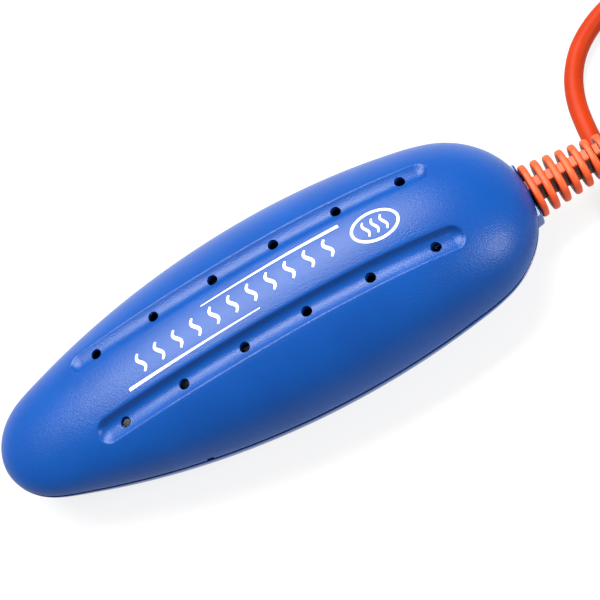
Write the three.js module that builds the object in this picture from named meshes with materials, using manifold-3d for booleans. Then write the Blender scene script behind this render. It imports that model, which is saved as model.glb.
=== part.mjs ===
// Electric boot dryer: two moulded shells round a PTC heater, a ribbed strain
// relief and a mains lead with a flat two-pin plug.
// Millimetres. +X runs from the toe tip to the lead, +Z is up, Z = 0 is the flat sole.
import * as THREE from 'three';
import { mergeVertices } from 'three/addons/utils/BufferGeometryUtils.js';
import Module from 'manifold-3d';

const wasm = await Module();
wasm.setup();

// ---- driving dimensions -------------------------------------------------
const HALF_LENGTH = 80;
const HALF_WIDTH = 31;
const TIP_RADIUS = 17.5; // plan outline: tip arc, long side arc, rear corner, rear end
const SIDE_RADIUS = 230;
const CORNER_RADIUS = 22;
const REAR_RADIUS = 27;
const CROWN = 22; // height of the upper shell above the parting plane
const CROWN_X = 16; // the crown is highest here
const PART_Z = 15; // parting plane
const BELLY = 17; // depth of the lower shell before the sole cuts it flat
const WALL = 2;
const PART_GAP = 0.8; // shadow line between the shells
const CLEAR = 0.3; // gap between pieces that touch
const PRY_NOTCH = { x: -29, width: 1.9, height: 0.9 }; // for opening the shells, in the near rim

const CHANNEL_Y = 11.2;
const CHANNEL_WIDTH = 6.4;
const CHANNEL_DEPTH = 1.7;
const CHANNEL_FRONT = -52;
const CHANNEL_REAR = 58;
const VENT_COUNT = 6;
const VENT_FIRST = -44;
const VENT_PITCH = 18.8;
const VENT_RADIUS = 1.5;

const BOSSES = [[-58, 0], [-8, 21.5], [-8, -21.5], [48, 17.5], [48, -17.5]];
const BOSS_RADIUS = 3.6;
const SCREW_SHANK = 1.4;
const SCREW_HEAD = 2.8;
const COUNTERBORE_TOP = 11;

const CORD_DIAMETER = 5.5;
const LEAD_Z = 12; // axis of the strain relief
const RIB_COUNT = 10;
const RIB_FIRST = 81.3;
const RIB_PITCH = 3.6;
const RIB_THICKNESS = 1.9;
const BOOT_END = 119;
const COLLAR_END = 80;
const COLLAR_HALF = 10;

const HEATER_LENGTH = 58;
const HEATER_WIDTH = 22;
const HEATER_BASE = 9;

const COIL_CENTRE = [183.5, 14.5];
const COIL_INNER = 22.2; // centre line radius of the innermost and outermost turn
const COIL_OUTER = 38.7;
const TIE_THICKNESS = 0.8;
const COIL_BASE = 1.1; // the turns lie on the tie
const PLUG_PIN_SPACING = 19;
const PLUG_THICKNESS = 13.4;
const PLUG_FACE = 153.5; // the plug lies on the coil
const PLUG_Y = 5.1;
const PLUG_Z = COIL_BASE + 2 * CORD_DIAMETER + CLEAR + PLUG_THICKNESS / 2;

// ---- materials ----------------------------------------------------------
function material(name, color, roughness, metalness = 0) {
  return new THREE.MeshStandardMaterial({ name, color, roughness, metalness });
}
const blueShell = () => material('housing_blue', 0x1450cc, 0.42);
const orangeRubber = () => material('cord_orange', 0xf0602a, 0.5);
const brass = () => material('brass', 0xc9a35a, 0.3, 1);
const steel = () => material('zinc_steel', 0xb9bcc0, 0.35, 1);
const aluminium = () => material('aluminium', 0xc8cbce, 0.4, 1);
const ceramic = () => material('heater_ceramic', 0x4a4744, 0.7);
const film = () => material('insulating_film', 0xb8873a, 0.45);
const clampPlastic = () => material('natural_nylon', 0xe9e4d6, 0.55);

// ---- solids -------------------------------------------------------------
const group = new THREE.Group();
group.name = 'boot_dryer';

function toSolid(geometry) {
  const bare = geometry.clone();
  bare.deleteAttribute('normal');
  bare.deleteAttribute('uv');
  const merged = mergeVertices(bare, 1e-4);
  return new wasm.Manifold(new wasm.Mesh({
    numProp: 3,
    vertProperties: new Float32Array(merged.attributes.position.array),
    triVerts: new Uint32Array(merged.index.array),
  }));
}

function toGeometry(solid) {
  const mesh = solid.getMesh();
  const geometry = new THREE.BufferGeometry();
  geometry.setAttribute('position', new THREE.BufferAttribute(new Float32Array(mesh.vertProperties), 3));
  geometry.setIndex(new THREE.BufferAttribute(new Uint32Array(mesh.triVerts), 1));
  geometry.computeVertexNormals();
  return geometry;
}

function addPart(name, shape, look) {
  const geometry = shape.isBufferGeometry ? shape : toGeometry(shape);
  const mesh = new THREE.Mesh(geometry, look);
  mesh.name = name;
  group.add(mesh);
  return mesh;
}

function block(x0, x1, y0, y1, z0, z1) {
  const geometry = new THREE.BoxGeometry(x1 - x0, y1 - y0, z1 - z0);
  return geometry.translate((x0 + x1) / 2, (y0 + y1) / 2, (z0 + z1) / 2);
}

function postZ(radius, z0, z1, x, y, sides = 12) {
  const geometry = new THREE.CylinderGeometry(radius, radius, z1 - z0, sides);
  return geometry.rotateX(Math.PI / 2).translate(x, y, (z0 + z1) / 2);
}

function rodX(radius, x0, x1, y, z, sides = 20) {
  const geometry = new THREE.CylinderGeometry(radius, radius, x1 - x0, sides);
  return geometry.rotateZ(Math.PI / 2).translate((x0 + x1) / 2, y, z);
}

// A flat outline in (y, z), extruded along +X from x0.
function prismX(shape, x0, length, bevel = 0, curveSegments = 2) {
  const geometry = new THREE.ExtrudeGeometry(shape, {
    depth: length - 2 * bevel,
    bevelEnabled: bevel > 0,
    bevelSize: bevel,
    bevelThickness: bevel,
    bevelOffset: -bevel,
    bevelSegments: 1,
    curveSegments,
  });
  // shape x -> world y, shape y -> world z, extrusion -> world x
  const axes = new THREE.Matrix4().set(0, 0, 1, x0 + bevel, 1, 0, 0, 0, 0, 1, 0, 0, 0, 0, 0, 1);
  return geometry.applyMatrix4(axes);
}

function roundedRect(width, height, radius, cy = 0, cz = 0) {
  const w = width / 2;
  const h = height / 2;
  const shape = new THREE.Shape();
  shape.moveTo(cy - w + radius, cz - h);
  shape.lineTo(cy + w - radius, cz - h);
  shape.absarc(cy + w - radius, cz - h + radius, radius, -Math.PI / 2, 0);
  shape.lineTo(cy + w, cz + h - radius);
  shape.absarc(cy + w - radius, cz + h - radius, radius, 0, Math.PI / 2);
  shape.lineTo(cy - w + radius, cz + h);
  shape.absarc(cy - w + radius, cz + h - radius, radius, Math.PI / 2, Math.PI);
  shape.lineTo(cy - w, cz - h + radius);
  shape.absarc(cy - w + radius, cz - h + radius, radius, Math.PI, 1.5 * Math.PI);
  return shape;
}

// Skins equal closed rings of (y, z) points, one ring for each x, and caps both ends.
function loftX(stations, ring) {
  const rings = stations.map(ring);
  const count = rings[0].length;
  const positions = [];
  const index = [];
  rings.forEach((points, i) => points.forEach(([y, z]) => positions.push(stations[i], y, z)));
  for (let i = 0; i + 1 < rings.length; i++) {
    for (let j = 0; j < count; j++) {
      const a = i * count + j;
      const b = i * count + ((j + 1) % count);
      index.push(a, b, b + count, a, b + count, a + count);
    }
  }
  const last = (rings.length - 1) * count;
  for (const [start, flip] of [[0, true], [last, false]]) {
    const outline = rings[start / count].map(([y, z]) => new THREE.Vector2(y, z));
    for (const [a, b, c] of THREE.ShapeUtils.triangulateShape(outline, [])) {
      index.push(start + a, start + (flip ? c : b), start + (flip ? b : c));
    }
  }
  const geometry = new THREE.BufferGeometry();
  geometry.setAttribute('position', new THREE.Float32BufferAttribute(positions, 3));
  geometry.setIndex(index);
  return geometry;
}

// Stations crowded towards both ends, where the form closes fastest.
function endCrowded(x0, x1, count) {
  return Array.from({ length: count + 1 }, (_, i) => (
    x0 + (x1 - x0) * (1 - Math.cos((Math.PI * i) / count)) / 2));
}

// ---- housing form -------------------------------------------------------
// Plan outline: four arcs, tangent to each other, mirrored about the X axis.
function planArcs() {
  const tip = { x: -HALF_LENGTH + TIP_RADIUS, y: 0, r: TIP_RADIUS };
  const sideRise = SIDE_RADIUS - HALF_WIDTH;
  const side = {
    x: tip.x + Math.sqrt((SIDE_RADIUS - TIP_RADIUS) ** 2 - sideRise ** 2),
    y: -sideRise,
    r: SIDE_RADIUS,
  };
  const rear = { x: HALF_LENGTH - REAR_RADIUS, y: 0, r: REAR_RADIUS };
  const fromSide = SIDE_RADIUS - CORNER_RADIUS;
  const fromRear = REAR_RADIUS - CORNER_RADIUS;
  const dx = rear.x - side.x;
  const dy = rear.y - side.y;
  const span = Math.hypot(dx, dy);
  const along = (fromSide ** 2 - fromRear ** 2 + span ** 2) / (2 * span);
  const across = Math.sqrt(Math.max(0, fromSide ** 2 - along ** 2));
  const corner = {
    x: side.x + (along * dx + across * dy) / span,
    y: side.y + (along * dy - across * dx) / span,
    r: CORNER_RADIUS,
  };
  if (corner.y < 0) {
    corner.x = side.x + (along * dx - across * dy) / span;
    corner.y = side.y + (along * dy + across * dx) / span;
  }
  return [tip, side, corner, rear];
}
const ARCS = planArcs();
// x where one arc hands over to the next, along the line of their centres
const HANDOVER = [
  ARCS[1].x + ((ARCS[0].x - ARCS[1].x) * SIDE_RADIUS) / (SIDE_RADIUS - TIP_RADIUS),
  ARCS[1].x + ((ARCS[2].x - ARCS[1].x) * SIDE_RADIUS) / (SIDE_RADIUS - CORNER_RADIUS),
  ARCS[3].x + ((ARCS[2].x - ARCS[3].x) * REAR_RADIUS) / (REAR_RADIUS - CORNER_RADIUS),
];

function halfWidth(x, inset = 0) {
  const shrink = (HALF_LENGTH - inset) / HALF_LENGTH;
  const full = x / shrink;
  const slot = HANDOVER.filter((limit) => full > limit).length;
  const arc = ARCS[slot];
  const reach = arc.y + Math.sqrt(Math.max(0, arc.r ** 2 - (full - arc.x) ** 2));
  return Math.max(0.02, (reach * (HALF_WIDTH - inset)) / HALF_WIDTH);
}

// Long curve of a shell: fuller at the rear than at the toe.
function longCurve(x, peakX, front, rear, inset) {
  const full = (x * HALF_LENGTH) / (HALF_LENGTH - inset);
  const [power, root] = full < peakX ? front : rear;
  const reach = full < peakX ? peakX + HALF_LENGTH : HALF_LENGTH - peakX;
  const u = Math.min(1, Math.abs(full - peakX) / reach);
  return Math.max(0.001, (1 - u ** power) ** (1 / root));
}
function crownHeight(x, inset = 0) {
  return (CROWN - inset) * longCurve(x, CROWN_X, [1.45, 1.9], [2.6, 1.9], inset);
}
function bellyDepth(x, inset = 0) {
  return (BELLY - inset) * longCurve(x, 0, [2.2, 2], [2.4, 2.2], inset);
}

// Half-ellipse sections, up (side = 1) or down (side = -1) from the parting plane.
function halfBody(side, inset, lengthSteps, arcSteps) {
  const height = side > 0 ? crownHeight : bellyDepth;
  const end = HALF_LENGTH - inset - 0.05;
  return loftX(endCrowded(-end, end, lengthSteps), (x) => {
    const w = halfWidth(x, inset);
    const h = height(x, inset);
    return Array.from({ length: arcSteps + 1 }, (_, j) => {
      const angle = (side * Math.PI * j) / arcSteps;
      return [side * w * Math.cos(angle), PART_Z + side * h * Math.sin(side * angle)];
    });
  });
}

// Straight-sided slab with the plan outline, used for the lap joint.
function planSlab(inset, z0, z1, steps = 18) {
  const end = HALF_LENGTH - inset - 0.05;
  const upper = endCrowded(-end, end, steps).map((x) => [x, halfWidth(x, inset)]);
  const points = [...upper, ...upper.slice().reverse().map(([x, y]) => [x, -y])];
  const shape = new THREE.Shape(points.map(([x, y]) => new THREE.Vector2(x, y)));
  const geometry = new THREE.ExtrudeGeometry(shape, { depth: z1 - z0, bevelEnabled: false });
  return geometry.translate(0, 0, z0);
}

// Scooped channel that follows the crown at y = CHANNEL_Y, with round ends.
function crownChannel(mirror, grow, endSteps = 4, midSteps = 9, arcSteps = 6) {
  const half = CHANNEL_WIDTH / 2 + grow;
  const front = CHANNEL_FRONT - grow;
  const rear = CHANNEL_REAR + grow;
  const stations = [...endCrowded(front, front + half, endSteps).slice(0, -1),
    ...endCrowded(front + half, rear - half, midSteps), ...endCrowded(rear - half, rear, endSteps).slice(1)];
  return loftX(stations, (x) => {
    const into = Math.min(x - front, rear - x, half) / half;
    const swell = Math.max(0.1, Math.sqrt(1 - (1 - into) ** 2));
    const w = halfWidth(x);
    const h = crownHeight(x);
    const rise = Math.sqrt(1 - (CHANNEL_Y / w) ** 2);
    const slope = -(h * CHANNEL_Y) / (w * w * rise);
    const norm = Math.hypot(1, slope);
    const place = (across, out) => [
      mirror * (CHANNEL_Y + (across - out * slope) / norm),
      PART_Z + h * rise + (across * slope + out) / norm,
    ];
    const deep = (CHANNEL_DEPTH + grow) * swell;
    const ring = [];
    for (let j = 0; j <= arcSteps; j++) {
      const angle = (Math.PI * j) / arcSteps;
      ring.push(place(-half * swell * Math.cos(angle), -deep * Math.sin(angle) ** 0.75));
    }
    ring.push(place(half * swell, 3), place(-half * swell, 3));
    return mirror > 0 ? ring : ring.reverse();
  });
}

// Matching channel in the flat sole, open downwards.
function soleChannel(mirror, grow) {
  const shape = new THREE.Shape();
  const half = CHANNEL_WIDTH / 2 + grow;
  const top = CHANNEL_DEPTH + grow;
  shape.moveTo(-half, -1);
  shape.lineTo(half, -1);
  shape.absarc(0, 0, half, 0, Math.PI);
  const length = CHANNEL_REAR - CHANNEL_FRONT + 2 * grow;
  const geometry = prismX(shape, CHANNEL_FRONT - grow, length);
  geometry.scale(1, 1, top / half);
  return geometry.translate(0, mirror * CHANNEL_Y, 0);
}

function ventHoles(z0, z1) {
  const holes = [];
  for (const side of [1, -1]) {
    for (let i = 0; i < VENT_COUNT; i++) {
      holes.push(postZ(VENT_RADIUS, z0, z1, VENT_FIRST + i * VENT_PITCH, side * CHANNEL_Y, 8));
    }
  }
  return holes;
}

const LAP_OUT = 1; // the rebate starts this far inside the outline
const LAP_RISE = 2.2;

function upperShell() {
  const top = PART_Z + CROWN;
  const outer = toSolid(halfBody(1, 0, 32, 16))
    .subtract(toSolid(block(-90, 90, -40, 40, PART_Z - 2, PART_Z + PART_GAP / 2)));
  let shell = outer.subtract(toSolid(halfBody(1, WALL, 18, 8)));
  for (const side of [1, -1]) shell = shell.add(toSolid(crownChannel(side, 1.4, 2, 6, 4)).intersect(outer));
  for (const [x, y] of BOSSES) {
    shell = shell.add(toSolid(postZ(BOSS_RADIUS, PART_Z + PART_GAP / 2, top, x, y)).intersect(outer));
  }
  for (const side of [1, -1]) shell = shell.subtract(toSolid(crownChannel(side, 0)));
  for (const [x, y] of BOSSES) {
    shell = shell.subtract(toSolid(postZ(SCREW_SHANK + 0.2, PART_Z - 1, PART_Z + 7.5, x, y, 8)));
  }
  for (const hole of ventHoles(PART_Z + 2, top + 1)) shell = shell.subtract(toSolid(hole));
  shell = shell.subtract(toSolid(planSlab(LAP_OUT, PART_Z - 1, PART_Z + LAP_RISE + CLEAR)));
  const neckArch = prismX(roundedRect(9.4, 10, 2, 0, LEAD_Z), 66, 20);
  const notch = block(PRY_NOTCH.x - PRY_NOTCH.width / 2, PRY_NOTCH.x + PRY_NOTCH.width / 2,
    -HALF_WIDTH, -halfWidth(PRY_NOTCH.x, LAP_OUT), PART_Z, PART_Z + PART_GAP / 2 + PRY_NOTCH.height);
  return shell.subtract(toSolid(neckArch)).subtract(toSolid(notch));
}

// Nose that carries the strain relief: it grows out of the belly and ends in a flat face.
function cordCollar(rim) {
  const start = 66.5;
  return loftX([start, 70, 73, 76, COLLAR_END], (x) => {
    const back = (COLLAR_END - x) / (COLLAR_END - start);
    const half = COLLAR_HALF + 3 * back ** 1.5;
    const bottom = 5.4 - back;
    const corner = 4;
    const ring = [[half, rim], [-half, rim]];
    for (let j = 0; j <= 4; j++) {
      const angle = (Math.PI * j) / 8;
      ring.push([-half + corner * (1 - Math.cos(angle)), bottom + corner * (1 - Math.sin(angle))]);
    }
    for (let j = 4; j >= 0; j--) {
      const angle = (Math.PI * j) / 8;
      ring.push([half - corner * (1 - Math.cos(angle)), bottom + corner * (1 - Math.sin(angle))]);
    }
    return ring;
  });
}

function lowerShell() {
  const rim = PART_Z - PART_GAP / 2;
  const above = toSolid(block(-90, 90, -40, 40, rim, PART_Z + 2));
  const under = toSolid(block(-90, 90, -40, 40, -10, 0));
  const outer = toSolid(halfBody(-1, 0, 24, 12)).subtract(above).subtract(under);
  const cavity = toSolid(halfBody(-1, WALL, 16, 8))
    .subtract(toSolid(block(-90, 90, -40, 40, -10, WALL)));
  let shell = outer.subtract(cavity);
  for (const side of [1, -1]) shell = shell.add(toSolid(soleChannel(side, 1.4)).intersect(outer));
  for (const [x, y] of BOSSES) {
    shell = shell.add(toSolid(postZ(BOSS_RADIUS + 0.6, 0, rim, x, y)).intersect(outer));
    shell = shell.add(toSolid(postZ(BOSS_RADIUS, rim - 2, PART_Z + LAP_RISE, x, y)));
  }
  for (const x of [-25, 25]) {
    const cradle = block(x - 1, x + 1, -HEATER_WIDTH / 2, HEATER_WIDTH / 2, 1, HEATER_BASE - CLEAR);
    shell = shell.add(toSolid(cradle).intersect(outer));
  }
  shell = shell.add(toSolid(block(58, 66, -10.5, 10.5, 1, 11.2)).intersect(outer));
  shell = shell.add(toSolid(cordCollar(rim)));
  const tongue = toSolid(planSlab(LAP_OUT + CLEAR, rim - 1.5, PART_Z + LAP_RISE))
    .subtract(toSolid(planSlab(WALL, rim - 3, PART_Z + LAP_RISE + 1)))
    .subtract(toSolid(block(60, 90, -COLLAR_HALF, COLLAR_HALF, rim, 40)));
  shell = shell.add(tongue);
  for (const side of [1, -1]) shell = shell.subtract(toSolid(soleChannel(side, 0)));
  for (const hole of ventHoles(-1, 8)) shell = shell.subtract(toSolid(hole));
  for (const [x, y] of BOSSES) {
    shell = shell.subtract(toSolid(postZ(SCREW_HEAD + CLEAR, -1, COUNTERBORE_TOP, x, y)))
      .subtract(toSolid(postZ(SCREW_SHANK + 0.2, 0, PART_Z + 3, x, y, 8)));
  }
  for (const y of [-7, 7]) shell = shell.subtract(toSolid(postZ(SCREW_SHANK + 0.2, 3, 14, 62, y, 14)));
  shell = shell.subtract(toSolid(rodX(CORD_DIAMETER / 2 + CLEAR, 50, 70.6, 0, LEAD_Z)));
  const neckSlot = prismX(roundedRect(9.4, 30, 2, 0, LEAD_Z + 10), 66, 20);
  const flangePocket = prismX(roundedRect(15, 30, 2, 0, LEAD_Z + 9), 69, 4);
  return shell.subtract(toSolid(neckSlot)).subtract(toSolid(flangePocket));
}

// ---- strain relief ------------------------------------------------------
function ribSize(i) {
  return [16 - 0.78 * i, 11.2 - 0.36 * i];
}

function strainRelief() {
  const core = new THREE.Shape([[1.7, 4.6], [3.2, 3.3], [3.2, -3.3], [1.7, -4.6], [-1.7, -4.6], [-3.2, -3.3],
    [-3.2, 3.3], [-1.7, 4.6]].map(([y, z]) => new THREE.Vector2(y, LEAD_Z + z)));
  let boot = toSolid(prismX(core, 72, 38));
  boot = boot.add(toSolid(prismX(roundedRect(14.2, 11, 2, 0, LEAD_Z), 69.4, 3.2)));
  boot = boot.add(toSolid(prismX(roundedRect(8.8, 9.4, 2, 0, LEAD_Z), 72, COLLAR_END - 72)));
  for (let i = 0; i < RIB_COUNT; i++) {
    const [width, height] = ribSize(i);
    const outline = roundedRect(width, height, height / 2 - 0.4, 0, LEAD_Z);
    const x0 = RIB_FIRST + i * RIB_PITCH - RIB_THICKNESS / 2;
    boot = boot.add(toSolid(prismX(outline, x0, RIB_THICKNESS, 0.45)));
  }
  const sleeve = [[0, 109], [4.6, 109], [4.4, 115], [3.9, 118], [3.4, BOOT_END], [0, BOOT_END]];
  const profile = sleeve.map(([r, x]) => new THREE.Vector2(r, x));
  const tail = new THREE.LatheGeometry(profile, 20).rotateZ(-Math.PI / 2).translate(0, 0, LEAD_Z);
  return boot.add(toSolid(tail));
}

// ---- fasteners ----------------------------------------------------------
function screwShape(headZ, tipZ, headHeight) {
  const up = Math.sign(tipZ - headZ);
  const profile = [[0, headZ], [SCREW_HEAD * 0.75, headZ], [SCREW_HEAD, headZ + up * 0.7],
    [SCREW_HEAD, headZ + up * headHeight], [SCREW_SHANK, headZ + up * headHeight],
    [SCREW_SHANK, tipZ - up * 1.2], [0.5, tipZ], [0, tipZ]];
  const points = profile.map(([r, z]) => new THREE.Vector2(r, z));
  if (up < 0) points.reverse();
  return new THREE.LatheGeometry(points, 10).rotateX(Math.PI / 2);
}

function addScrews() {
  BOSSES.forEach(([x, y], i) => {
    const screw = addPart(`housing_screw_${i + 1}`,
      screwShape(COUNTERBORE_TOP - CLEAR - 2, PART_Z + 7, 2), steel());
    screw.position.set(x, y, 0);
  });
  [-7, 7].forEach((y, i) => {
    const screw = addPart(`clamp_screw_${i + 1}`, screwShape(19.7, 5, 2), steel());
    screw.position.set(62, y, 0);
  });
}

// ---- heater -------------------------------------------------------------
// A stack on the Z axis, bottom to top, each layer clear of the next.
function finnedPlate(z0, up) {
  const half = HEATER_WIDTH / 2;
  const shape = new THREE.Shape();
  const fin = 2.4;
  const base = 1.2;
  shape.moveTo(-half, 0);
  shape.lineTo(half, 0);
  for (let y = half; y > -half + 1; y -= 4) {
    shape.lineTo(y, base + fin);
    shape.lineTo(y - 1, base + fin);
    shape.lineTo(y - 1, base);
    if (y - 4 > -half + 1) shape.lineTo(y - 4, base);
  }
  shape.lineTo(-half, base);
  const geometry = prismX(shape, -HEATER_LENGTH / 2, HEATER_LENGTH);
  if (!up) geometry.rotateX(Math.PI);
  return geometry.translate(0, 0, z0);
}

function electrode(z0, side) {
  const shape = new THREE.Shape();
  const end = HEATER_LENGTH / 2 - 3;
  shape.moveTo(-end, -8);
  shape.lineTo(end, -8);
  shape.lineTo(end, side * 5.5 - 2.5);
  shape.lineTo(end + 9, side * 5.5 - 2.5);
  shape.lineTo(end + 9, side * 5.5 + 2.5);
  shape.lineTo(end, side * 5.5 + 2.5);
  shape.lineTo(end, 8);
  shape.lineTo(-end, 8);
  const geometry = new THREE.ExtrudeGeometry(shape, { depth: 0.6, bevelEnabled: false });
  return geometry.translate(0, 0, z0);
}

function springClip(x0, z0, z1) {
  const t = 0.8;
  const y0 = -HEATER_WIDTH / 2 - CLEAR - t;
  const y1 = HEATER_WIDTH / 2 - 3;
  const shape = new THREE.Shape();
  [[y1, z0 - t], [y0, z0 - t], [y0, z1 + t], [y1, z1 + t], [y1, z1], [y0 + t, z1],
    [y0 + t, z0], [y1, z0]].reverse().forEach(([y, z], i) => (i ? shape.lineTo(y, z) : shape.moveTo(y, z)));
  return prismX(shape, x0, 8);
}

function addHeater() {
  const half = HEATER_LENGTH / 2;
  let z = HEATER_BASE;
  const plateHeight = 3.6;
  addPart('heat_spreader_lower', finnedPlate(z + plateHeight, false), aluminium());
  z += plateHeight + CLEAR;
  addPart('insulation_lower', block(-half, half, -10, 10, z, z + 0.4), film());
  z += 0.4 + CLEAR;
  const lowElectrode = z;
  addPart('electrode_lower', electrode(z, -1), brass());
  z += 0.6 + CLEAR;
  [-12.5, 12.5].forEach((x, i) => {
    addPart(`ptc_chip_${i + 1}`, block(x - 11, x + 11, -7.5, 7.5, z, z + 2.4), ceramic());
  });
  z += 2.4 + CLEAR;
  const highElectrode = z;
  addPart('electrode_upper', electrode(z, 1), brass());
  z += 0.6 + CLEAR;
  addPart('insulation_upper', block(-half, half, -10, 10, z, z + 0.4), film());
  z += 0.4 + CLEAR;
  addPart('heat_spreader_upper', finnedPlate(z, true), aluminium());
  [-19, 11].forEach((x, i) => {
    addPart(`spring_clip_${i + 1}`, springClip(x, HEATER_BASE - CLEAR, z + plateHeight + CLEAR), steel());
  });
  return [lowElectrode, highElectrode];
}

// ---- wiring -------------------------------------------------------------
function tube(points, diameter, sides, step) {
  const curve = new THREE.CatmullRomCurve3(points.map((p) => new THREE.Vector3(...p)), false, 'centripetal');
  const section = new THREE.Shape();
  section.absarc(0, 0, diameter / 2, 0, 2 * Math.PI);
  return new THREE.ExtrudeGeometry(section, {
    extrudePath: curve,
    steps: Math.max(4, Math.round(curve.getLength() / step)),
    curveSegments: sides,
    bevelEnabled: false,
  });
}

function addWiring([lowElectrode, highElectrode]) {
  const tabEnd = HEATER_LENGTH / 2 + 6;
  const wire = 1.8;
  const lowZ = lowElectrode + 0.3;
  const highZ = highElectrode + 0.3;
  addPart('lead_inner', rodX(CORD_DIAMETER / 2, 54, 69.4 - CLEAR, 0, LEAD_Z, 16), orangeRubber());
  addPart('crimp_neutral', rodX(1.5, tabEnd + CLEAR, tabEnd + 6, -5.5, lowZ, 12), brass());
  addPart('wire_neutral', tube([[tabEnd + 6.3, -5.5, lowZ], [45, -4.6, LEAD_Z + 0.6],
    [49, -2.4, LEAD_Z], [53.7, -1.3, LEAD_Z]], wire, 8, 3), material('wire_blue', 0x2d5fb0, 0.5));
  addPart('crimp_live', rodX(1.5, tabEnd + CLEAR, tabEnd + 4.5, 5.5, highZ, 12), brass());
  addPart('thermal_fuse', rodX(1.9, 41, 49, 6.2, LEAD_Z + 4.2, 14), clampPlastic());
  addPart('wire_live', tube([[49.3, 6.2, LEAD_Z + 4.2], [52.6, 6, LEAD_Z + 3], [54.5, 4.9, LEAD_Z + 1],
    [55.2, 3.9, LEAD_Z - 1.6]], wire, 8, 2), material('wire_brown', 0x5a3524, 0.5));
  const saddle = toSolid(block(58.4, 65.6, -10, 10, LEAD_Z + 0.4, LEAD_Z + 5.4))
    .subtract(toSolid(rodX(CORD_DIAMETER / 2 + CLEAR, 50, 70, 0, LEAD_Z)))
    .subtract(toSolid(postZ(SCREW_SHANK + 0.2, 5, 25, 62, 7, 14)))
    .subtract(toSolid(postZ(SCREW_SHANK + 0.2, 5, 25, 62, -7, 14)));
  addPart('cord_clamp', saddle, clampPlastic());
}

// ---- mains lead ---------------------------------------------------------
// Points chosen by hand: out of the boot, once round under it, then to the coil, and from its top to the plug.
const FLOOR_Z = CORD_DIAMETER / 2 + 0.05;
const LEAD_ROUTE = [
  [119.3, 0, 12], [122.5, 0, 11.9], [126.5, 0, 11.6], [134, -1.4, 10.2], [140.8, -5.4, 7.9],
  [145.9, -11.5, 5.4], [148.6, -19, 3.5], [148.6, -27, FLOOR_Z], [145.9, -34.5, FLOOR_Z],
  [140.8, -40.6, FLOOR_Z], [133.9, -44.6, FLOOR_Z], [126, -46, FLOOR_Z], [118.1, -44.6, FLOOR_Z],
  [111.2, -40.6, FLOOR_Z], [106.1, -34.5, FLOOR_Z], [103.4, -27, FLOOR_Z], [102.7, -19, FLOOR_Z],
  [102.7, -11, FLOOR_Z], [102.9, -2, FLOOR_Z], [103.2, 7, FLOOR_Z], [103.9, 15.5, FLOOR_Z],
  [105.4, 23.4, FLOOR_Z], [108.6, 31.1, FLOOR_Z], [114, 38, FLOOR_Z], [121.5, 43.2, FLOOR_Z],
  [131, 46.9, FLOOR_Z], [142, 50, FLOOR_Z], [150, 51.8, FLOOR_Z + 0.2], [158, 53, FLOOR_Z + 0.5],
];
const TAIL_ROUTE = [
  [214.2, 26, 15.8], [213.6, 22.1, 16.4], [211.3, 16.6, 17.3], [207.6, 11.8, 18], [202.9, 8.2, 18.6],
  [197.3, 5.9, 19], [188, PLUG_Y, PLUG_Z],
];

function addLead() {
  addPart('cord_lead', tube(LEAD_ROUTE, CORD_DIAMETER, 8, 12), orangeRubber());
  addPart('cord_tail', tube(TAIL_ROUTE, CORD_DIAMETER, 8, 10), orangeRubber());
  const r = CORD_DIAMETER / 2;
  const top = COIL_BASE + 2 * CORD_DIAMETER;
  const profile = new THREE.Shape();
  const inner = COIL_INNER - r;
  const outer = COIL_OUTER + r;
  profile.moveTo(inner + 2, COIL_BASE);
  profile.lineTo(outer - 2, COIL_BASE);
  profile.lineTo(outer, COIL_BASE + 2);
  profile.lineTo(outer, top - 2);
  profile.lineTo(outer - 2, top);
  profile.lineTo(inner + 2, top);
  profile.lineTo(inner, top - 2);
  profile.lineTo(inner, COIL_BASE + 2);
  profile.closePath();
  const ring = new THREE.LatheGeometry(profile.getPoints(), 28).rotateX(Math.PI / 2);
  addPart('cord_coil', ring, orangeRubber()).position.set(...COIL_CENTRE, 0);
}

function addTie() {
  const inner = COIL_INNER - CORD_DIAMETER / 2 - 0.9;
  const outer = COIL_OUTER + CORD_DIAMETER / 2 + CLEAR;
  const width = outer - inner;
  const height = 2 * CORD_DIAMETER + 2 * CLEAR;
  const middle = (inner + outer) / 2;
  const centreZ = COIL_BASE + CORD_DIAMETER;
  const band = roundedRect(width + 2 * TIE_THICKNESS, height + 2 * TIE_THICKNESS, 2.4, middle, centreZ);
  band.holes.push(roundedRect(width, height, 1.6, middle, centreZ));
  const tie = addPart('coil_tie', prismX(band, -4, 8), material('tie_black', 0x1b1b1d, 0.6));
  tie.rotation.z = -Math.PI / 3;
  tie.position.set(...COIL_CENTRE, 0);
}

// ---- plug ---------------------------------------------------------------
// Flat two-pin plug lying on its broad side, pins towards -X.
function plugBody() {
  const shape = new THREE.Shape();
  shape.moveTo(0, -17);
  shape.lineTo(6, -17);
  shape.quadraticCurveTo(18, -15.5, 24, -8);
  shape.lineTo(34, -4.2);
  shape.lineTo(34, 4.2);
  shape.lineTo(24, 8);
  shape.quadraticCurveTo(18, 15.5, 6, 17);
  shape.lineTo(0, 17);
  const body = new THREE.ExtrudeGeometry(shape, {
    depth: PLUG_THICKNESS - 4, bevelEnabled: true, bevelSize: 1.6, bevelThickness: 2, bevelOffset: -1.6,
    bevelSegments: 2, curveSegments: 5,
  });
  return body.translate(PLUG_FACE, PLUG_Y, PLUG_Z - PLUG_THICKNESS / 2 + 2);
}

function lathedPin(profile, y) {
  const points = profile.map(([r, x]) => new THREE.Vector2(r, x));
  const geometry = new THREE.LatheGeometry(points, 12).rotateZ(-Math.PI / 2);
  return geometry.translate(0, y, PLUG_Z);
}

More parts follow.
